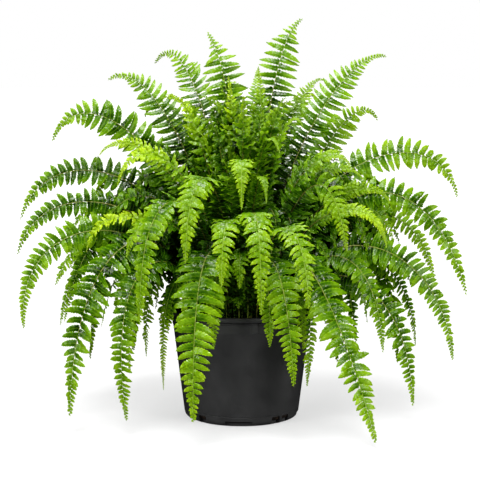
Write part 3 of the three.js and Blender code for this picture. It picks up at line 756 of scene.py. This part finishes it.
def inner_rows(draw):
    """Short fronds between the long ones, all round."""
    rows = []
    for i in range(INNER_FRONDS):
        azimuth = i * GOLDEN_ANGLE % 360 - 180
        front = math.sin(math.radians(azimuth)) < -0.35
        root = draw.uniform(20, 85)
        reach = root + (draw.uniform(40, 100) if front else draw.uniform(70, 160))
        low = 215 if front else 150
        top = draw.uniform(low + 90, (400 if front else 440) - 0.4 * root)
        tip = max(low, top - draw.uniform(60, 150))
        rise = [root + 0.25 * (reach - root), top - 20]
        arch = [root + 0.8 * (reach - root), top + 25]
        half_width, turn = draw.uniform(17, 25), draw.uniform(0.1, 0.6)
        rows.append([azimuth, 0, root, rise, arch, [reach, tip], half_width, turn])
    return rows


def rim_rows(draw):
    """Very short fronds that stand in the gap above the front of the rim."""
    rows = []
    for i in range(RIM_FRONDS):
        azimuth = -90 + 110 * (i * GOLDEN_SHARE % 1 - 0.5)
        root = draw.uniform(70, 98)
        reach = root + draw.uniform(6, 26)
        top = draw.uniform(215, 300)
        rise = [root + 2, 0.5 * (SOIL_TOP + top)]
        arch = [root + 0.4 * (reach - root), top + 8]
        rows.append([azimuth, 0, root, rise, arch, [reach, top - draw.uniform(8, 40)], 15, 0])
    return rows


def side_rows(draw):
    """Long fronds at both sides, behind those that show, and short ones beside the rim."""
    rows = []
    for i in range(SIDE_FRONDS):
        turn_back = (i // 2 * GOLDEN_SHARE % 1) * 58 - 10
        azimuth = 180 - turn_back if i % 2 else turn_back
        root = draw.uniform(30, 75)
        reach = draw.uniform(170, 320)
        top = draw.uniform(420, 480) - 0.42 * (reach - 150) - 110 * draw.uniform(0, 1) ** 2
        rise = [root + 0.25 * (reach - root), top - 10]
        arch = [root + 0.8 * (reach - root), top + 25]
        tip = [reach, top - draw.uniform(50, 170 if i % 3 else 280)]
        half_width, turn = draw.uniform(24, 31), draw.uniform(0.4, 0.8)
        rows.append([azimuth, 0, root, rise, arch, tip, half_width, turn])
    for i in range(RIM_SIDE_FRONDS):
        aside = 44 + 34 * (i // 2 * GOLDEN_SHARE % 1)
        azimuth = -90 + (aside if i % 2 else -aside)
        root, reach, top = draw.uniform(70, 88), draw.uniform(128, 185), draw.uniform(240, 310)
        rise = [root + 10, top - 5]
        arch = [root + 0.8 * (reach - root), top + 25]
        rows.append([azimuth, 0, root, rise, arch, [reach, top - draw.uniform(40, 110)], 23, 0.2])
    return rows


def upright_rows(draw):
    """Narrow young fronds that stand between the tall ones."""
    rows = []
    for i in range(UPRIGHT_FRONDS):
        azimuth = i * GOLDEN_ANGLE % 360 - 180
        root = draw.uniform(8, 30)
        behind = math.sin(math.radians(azimuth)) > -0.2
        reach = root + draw.uniform(25, 180 if behind else 90)
        height = draw.uniform(470, 590) - 0.35 * reach
        rise = [root + 0.15 * (reach - root), height - 110]
        arch = [root + 0.55 * (reach - root), height + 20]
        half_width, turn = draw.uniform(19, 27), draw.uniform(0.5, 0.9)
        rows.append([azimuth, 0, root, rise, arch, [reach, height], half_width, turn])
    return rows


# ---- a piece of fronds ----

def make_frond(name, youth, rows, materials, draw, wild=0.0):
    """One piece from all the fronds of some rows. Wild leaflets lie this way and that."""
    named = name in FRONDS
    points, faces, slots, coordinates, ages_and_shade, chances = [], [], [], [], [], []
    start = 0
    for row in rows:
        frond = Frond(row, rows[0] if named else row)
        own_youth = youth + (SLENDER_YOUTH * frond.slender if named else 0)
        leaves = add_leaflets(frond, own_youth, wild, draw)
        stalk = add_rib(frond, own_youth, draw)
        for slot, (own_points, own_faces, *values) in enumerate((leaves, stalk)):
            points.append(own_points)
            faces.append(own_faces + start)
            slots.append(np.full(len(own_faces), slot, np.int32))
            for kept, own in zip((coordinates, ages_and_shade, chances), values):
                kept.append(own)
            start += len(own_points)
    faces = np.concatenate(faces)
    made = object_of_faces(name + "_fine", np.concatenate(points), faces)
    made.data.polygons.foreach_set("material_index", np.concatenate(slots))
    layer = made.data.uv_layers.new(name="leaflet")
    corners = np.concatenate(coordinates)[faces.ravel()]
    layer.uv.foreach_set("vector", corners.astype(np.float32).ravel())
    # The youth that the materials read also holds painted shade, darker in the middle of the
    # clump.
    set_values(made.data, "youth", np.concatenate(ages_and_shade))
    set_values(made.data, "chance", np.concatenate(chances))
    for material in materials:
        made.data.materials.append(material)
    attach(made, "root")
    if named:
        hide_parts(name)


# ---- pot ----

def wall_radius(height):
    """Of the outside of the plain wall, between the foot and the collar."""
    top = COLLAR_RADIUS - COLLAR_STEP
    along = (height - BASE_ROUND) / (COLLAR_FOOT - BASE_ROUND)
    return BASE_RADIUS + (top - BASE_RADIUS) * along


def arc(centre, radius, start, end, steps):
    """Points of [radius, height] round a centre, between two angles in degrees."""
    angles = np.radians(np.linspace(start, end, steps))
    return [[centre[0] + radius * math.cos(a), centre[1] + radius * math.sin(a)] for a in angles]


def pot_outline():
    """The pot's section: out from the middle of the underside, up, over the lip and in."""
    rise = UNDERSIDE_RISE
    outline = [[0, 0], [PAD_RADIUS, 0], [PAD_RADIUS + 2, rise], [FOOT_INNER_RADIUS - 2, rise]]
    outline += [[FOOT_INNER_RADIUS, 0]]
    outline += arc((BASE_RADIUS - BASE_ROUND, BASE_ROUND), BASE_ROUND, -90, 0, 9)
    for height in (16, 16.6, 17.2):
        groove = 0.5 if height == 16.6 else 0
        outline.append([wall_radius(height) - groove, height])
    outline += [[wall_radius(COLLAR_FOOT), COLLAR_FOOT], [COLLAR_RADIUS - 1.3, COLLAR_FOOT + 1]]
    outline += [[COLLAR_RADIUS - 0.8, COLLAR_FOOT + 2.2], [COLLAR_RADIUS - 0.3, LIP_FOOT - 5]]
    outline += arc((COLLAR_RADIUS + 0.2, LIP_FOOT - 2.6), 1.4, -70, 70, 6)
    outline += [[COLLAR_RADIUS + 0.3, LIP_FOOT - 0.4], [COLLAR_RADIUS + 1.5, LIP_FOOT + 0.2]]
    outline += arc((LIP_RADIUS - 2.4, LIP_FOOT + 2.6), 2.4, -80, 0, 6)
    outline += arc((LIP_RADIUS - 3.2, POT_HEIGHT - 3.2), 3.2, 12, 95, 8)
    mouth = COLLAR_RADIUS - WALL
    outline += [[mouth + 1.5, POT_HEIGHT - 1.4], [mouth, POT_HEIGHT - 3]]
    outline += [[wall_radius(COLLAR_FOOT) - WALL, COLLAR_FOOT], [BASE_RADIUS - WALL, BASE_ROUND]]
    outline += [[BASE_RADIUS - BASE_ROUND, FLOOR], [0, FLOOR]]
    return np.array(outline) * MM


def turned(name, outline, steps):
    """An outline of [radius, height] turned about Z. Fans close it at its ends, on the axis."""
    made = bmesh.new()
    angles = np.arange(steps) * 2 * np.pi / steps
    rings = []
    for radius, height in outline:
        if radius < 1e-9:
            rings.append([made.verts.new((0, 0, height))])
            continue
        rings.append([
            made.verts.new((radius * math.cos(a), radius * math.sin(a), height)) for a in angles
        ])
    for low, high in zip(rings, rings[1:]):
        for i in range(steps):
            j = (i + 1) % steps
            if len(low) == 1:
                made.faces.new((low[0], high[j], high[i]))
            elif len(high) == 1:
                made.faces.new((low[i], low[j], high[0]))
            else:
                made.faces.new((low[i], low[j], high[j], high[i]))
    return object_of_edit(name, made)


def add_block(made, place, heights, size, rounding):
    """A rounded block at an azimuth, a radius and a way aside, with a size in depth and width."""
    azimuth, radius, sideways = place
    low, high = heights
    half_depth, half_width = size[0] / 2, size[1] / 2
    corner = []
    for x, y, start in ((1, 1, 0), (-1, 1, 90), (-1, -1, 180), (1, -1, 270)):
        for turn in (0, 30, 60, 90):
            angle = math.radians(start + turn)
            corner.append((
                x * (half_width - rounding) + rounding * math.cos(angle),
                y * ((high - low) / 2 - rounding) + rounding * math.sin(angle),
            ))
    out = np.array([math.cos(math.radians(azimuth)), math.sin(math.radians(azimuth)), 0])
    side = np.array([-out[1], out[0], 0])
    middle = (low + high) / 2
    ends = []
    for reach in (radius - half_depth, radius + half_depth):
        ring = []
        for a, b in corner:
            point = out * reach + side * (sideways + a) + np.array([0, 0, middle + b])
            ring.append(made.verts.new(point * MM))
        ends.append(ring)
    inner, outer = ends
    made.faces.new(outer)
    made.faces.new(inner[::-1])
    for i in range(len(inner)):
        j = (i + 1) % len(inner)
        made.faces.new((inner[i], inner[j], outer[j], outer[i]))


def pot_cutters():
    """One object of blocks for the notches and the grip recess, and one for the slots."""
    notches, slots = bmesh.new(), bmesh.new()
    for i in range(NOTCHES):
        azimuth = NOTCH_FIRST + i * 360 / NOTCHES
        if i % 2 == 0:
            place, size = (azimuth, BASE_RADIUS, 0), (2 * NOTCH_DEPTH, NOTCH_WIDTH)
            add_block(notches, place, (CUT_LOW, NOTCH_HEIGHT), size, NOTCH_ROUNDING)
            continue
        for across in (-SLOT_SPACING / 2, SLOT_SPACING / 2):
            place, size = (azimuth, BASE_RADIUS, across), (SLOT_CUT, SLOT_WIDTH)
            add_block(slots, place, (CUT_LOW, SLOT_HEIGHT), size, SLOT_ROUNDING)
    high = LIP_FOOT - 1
    place, size = (GRIP_AZIMUTH, COLLAR_RADIUS, 0), (2 * GRIP_DEPTH, GRIP_WIDTH)
    add_block(notches, place, (high - GRIP_HEIGHT, high), size, GRIP_ROUNDING)
    return object_of_edit("cut_notches", notches), object_of_edit("cut_slots", slots)


def apply_modifiers(piece):
    """The piece's mesh becomes what its modifiers make of it."""
    view = bpy.context.evaluated_depsgraph_get()
    mesh = bpy.data.meshes.new_from_object(piece.evaluated_get(view))
    piece.modifiers.clear()
    piece.data = mesh


def smooth_by_angle(piece, degrees):
    """Smooth faces, with the edges sharp that turn more than this."""
    mesh = piece.data
    mesh.polygons.foreach_set("use_smooth", np.full(len(mesh.polygons), True))
    edit = bmesh.new()
    edit.from_mesh(mesh)
    for edge in edit.edges:
        edge.smooth = len(edge.link_faces) == 2 and edge.calc_face_angle(0) < math.radians(degrees)
    edit.to_mesh(mesh)
    edit.free()


def make_pot(material):
    pot = turned("pot_fine", pot_outline(), POT_STEPS)
    cutters = pot_cutters()
    for cutter in cutters:
        cut = pot.modifiers.new(cutter.name, "BOOLEAN")
        cut.object = cutter
        cut.operation = "DIFFERENCE"
        cut.solver = "EXACT"
    apply_modifiers(pot)
    for cutter in cutters:
        bpy.data.objects.remove(cutter)
    smooth_by_angle(pot, POT_SHARP)
    pot.data.materials.append(material)
    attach(pot, "root")
    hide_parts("pot")


# ---- soil ----

def soil_height(radius, rim):
    """Of the top of the soil, which is level in the middle and slopes down to the rim."""
    return SOIL_TOP - (SOIL_TOP - SOIL_EDGE) * float(smoothstep(radius, SOIL_FLAT_RADIUS, rim))


def make_soil(material, draw):
    """The body of soil with a crumbly top, and loose crumbs sunk into it, as one piece."""
    inset = WALL + SOIL_GAP
    low = [
        [0, FLOOR + SOIL_GAP], [BASE_RADIUS - BASE_ROUND - SOIL_GAP, FLOOR + SOIL_GAP],
        [BASE_RADIUS - inset, BASE_ROUND], [wall_radius(COLLAR_FOOT) - inset, COLLAR_FOOT],
    ]
    rim = COLLAR_RADIUS - inset - 1.5
    tops = [[radius, soil_height(radius, rim)] for radius in np.linspace(rim, 0, SOIL_RINGS)]
    soil = turned("soil_fine", np.array(low + tops) * MM, SOIL_STEPS)
    edit = bmesh.new()
    edit.from_mesh(soil.data)
    bumps = draw.uniform(-1, 1, len(edit.verts))
    for vertex, bump in zip(edit.verts, bumps):
        if vertex.co.z > (SOIL_EDGE - 1) * MM:
            vertex.co.z += SOIL_BUMP * MM * bump
    for _ in range(CRUMBS):
        radius, angle = rim * math.sqrt(draw.uniform(0, 0.97)), draw.uniform(0, 2 * math.pi)
        size = draw.uniform(*CRUMB_RADII) * MM
        crumb = bmesh.ops.create_icosphere(edit, subdivisions=1, radius=size)["verts"]
        stretch = draw.uniform(0.6, 1.5, 3)
        shift = [radius * math.cos(angle), radius * math.sin(angle), soil_height(radius, rim)]
        shift = np.array(shift) * MM
        for vertex in crumb:
            knock = draw.uniform(0.8, 1.2)
            vertex.co = [c * s * knock + m for c, s, m in zip(vertex.co, stretch, shift)]
    edit.to_mesh(soil.data)
    edit.free()
    smooth_by_angle(soil, SOIL_SHARP)
    soil.data.materials.append(material)
    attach(soil, "root")
    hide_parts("soil")


# ---- floor, light and camera ----

CAMERA_TARGET = (-2.6, 0.0, 304.0)
CAMERA_DISTANCE = 2500.0
CAMERA_PITCH = 7.0               # degrees that it looks down by
CAMERA_LENS = 109.3
FLOOR_SIZE = 60                  # in metres
WORLD_LIGHT = 0.85               # of the white all round, which the gloss doesn't show
FLOOR_GLOW = 0.555               # of the floor near the pot, which rises to 1 far away
FLOOR_BOUNCE = 0.45              # what the floor sends up to the fronds


def make_floor(material):
    """A wide pale floor that runs out into the white behind it."""
    bpy.ops.mesh.primitive_plane_add(size=FLOOR_SIZE, location=(0, 0, 0))
    floor = bpy.context.object
    floor.name = "floor"
    floor.data.materials.append(material)
    floor.visible_glossy = False


def add_light(name, place, target, size, power):
    """A round lamp at a place, aimed at a target, in metres and watts."""
    data = bpy.data.lights.new(name, "AREA")
    data.shape = "DISK"
    data.size = size
    data.energy = power
    light = add_object(name, data)
    light.location = place
    aim = np.array(target) - np.array(place)
    light.rotation_euler = Vector(aim).to_track_quat("-Z", "Y").to_euler()


def make_lights():
    """Four soft lamps, and a white world."""
    add_light("above", (-0.3, -0.85, 2.65), (0, 0, 0.3), 1.2, 126)
    add_light("left", (-2.4, -1.7, 1.0), (0, 0, 0.3), 1.0, 52)
    add_light("right", (2.4, -1.8, 0.9), (0, 0, 0.3), 1.0, 56)
    add_light("behind", (0.5, 2.0, 2.3), (0, 0, 0.4), 1.2, 30)
    world = bpy.data.worlds.new("studio")
    bpy.context.scene.world = world
    world.use_nodes = True
    tree = world.node_tree
    background = tree.nodes["Background"]
    background.inputs["Color"].default_value = (1, 1, 1, 1)
    seen = put(tree, "LightPath").outputs["Is Camera Ray"]
    strength = put(tree, "MapRange", {0: seen, 3: WORLD_LIGHT, 4: 1.0}).outputs[0]
    tree.links.new(strength, background.inputs["Strength"])
    world.cycles_visibility.glossy = False


def make_camera():
    data = bpy.data.cameras.new("camera")
    data.lens = CAMERA_LENS
    data.sensor_width = 36.0
    data.clip_end = 50.0
    camera = add_object("camera", data)
    pitch = math.radians(CAMERA_PITCH)
    x, y, z = CAMERA_TARGET
    camera.location = np.array([
        x, y - CAMERA_DISTANCE * math.cos(pitch), z + CAMERA_DISTANCE * math.sin(pitch),
    ]) * MM
    camera.rotation_euler = (math.pi / 2 - pitch, 0, 0)
    bpy.context.scene.camera = camera


# ---- the scene ----

# What the view shows for some levels of light.
TONES = [(0.015, 0.006), (0.05, 0.036), (0.15, 0.143), (0.4, 0.41)]

# The fronds that fill the clump: their name, rows and the rows' seed, how many pieces they make
# and the first one's seed, its youth and what each next one adds, and how wild they are.
FILLS = [
    ("fronds_inner", inner_rows, 100, 7, 101, 0.14, 0.05, 1.0),
    ("fronds_rim", rim_rows, 97, 2, 401, 0.55, 0.1, 0.4),
    ("fronds_side", side_rows, 98, 6, 301, 0.13, 0.04, 0.35),
    ("fronds_standing", upright_rows, 99, 4, 201, 0.3, 0.15, 1.0),
]


def set_tones():
    """The plain view with a short toe, so that the shade between the leaves is deep and green."""
    view = bpy.context.scene.view_settings
    view.view_transform = "Standard"
    view.use_curve_mapping = True
    curve = view.curve_mapping.curves[3]
    for light, shown in TONES:
        curve.points.new(light, shown)
    view.curve_mapping.update()


set_tones()

leaf, rib = leaf_material(), rib_material()
for number, (name, (youth, rows)) in enumerate(FRONDS.items()):
    make_frond(name, youth, rows, (leaf, rib), np.random.RandomState(SEED + number))
for name, make_rows, rows_seed, pieces, seed, youth, step, wild in FILLS:
    rows = make_rows(np.random.RandomState(SEED + rows_seed))
    for number in range(pieces):
        draw = np.random.RandomState(SEED + seed + number)
        piece, own_youth = f"{name}_{number + 1}", youth + step * number
        make_frond(piece, own_youth, rows[number::pieces], (leaf, rib), draw, wild)
make_pot(plastic_material())
make_soil(soil_material(), np.random.RandomState(SEED))
make_floor(floor_material())
make_lights()
make_camera()
